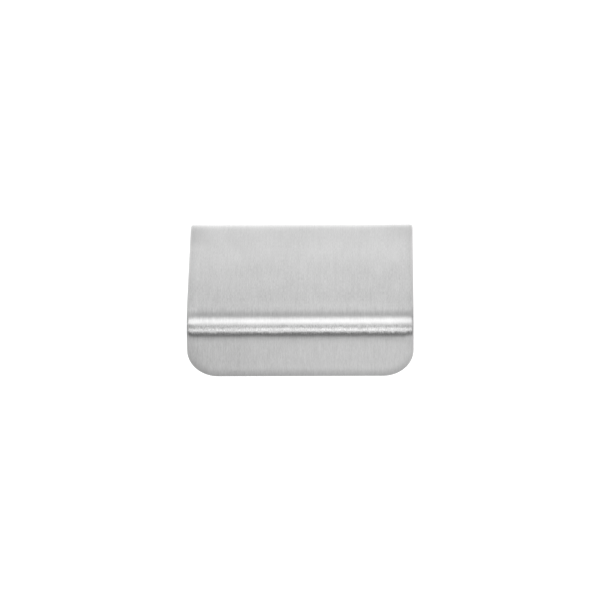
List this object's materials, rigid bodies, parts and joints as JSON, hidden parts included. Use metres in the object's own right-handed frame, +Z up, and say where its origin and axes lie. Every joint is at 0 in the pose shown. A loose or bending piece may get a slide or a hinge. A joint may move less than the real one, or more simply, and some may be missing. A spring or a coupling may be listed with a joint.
{
  "type": "lip pull",
  "caption": "Folded stainless sheet lip pull for a drawer or cabinet front, with a rear screw flange, a flat top plate and a short finger lip with rounded lower corners.",
  "frame": {"origin": "middle of the row of screw holes, on the flange's bearing face", "axes": "+X along the width, -Y out of the bearing face towards the lip, +Z up to the top plate"},
  "size_m": [0.05, 0.0435, 0.02],
  "materials": {
    "brushed_steel": "brushed, grain across the folds"
  },
  "bodies": {
    "root": {"lip_pull": "brushed_steel"}
  },
  "joints": []
}
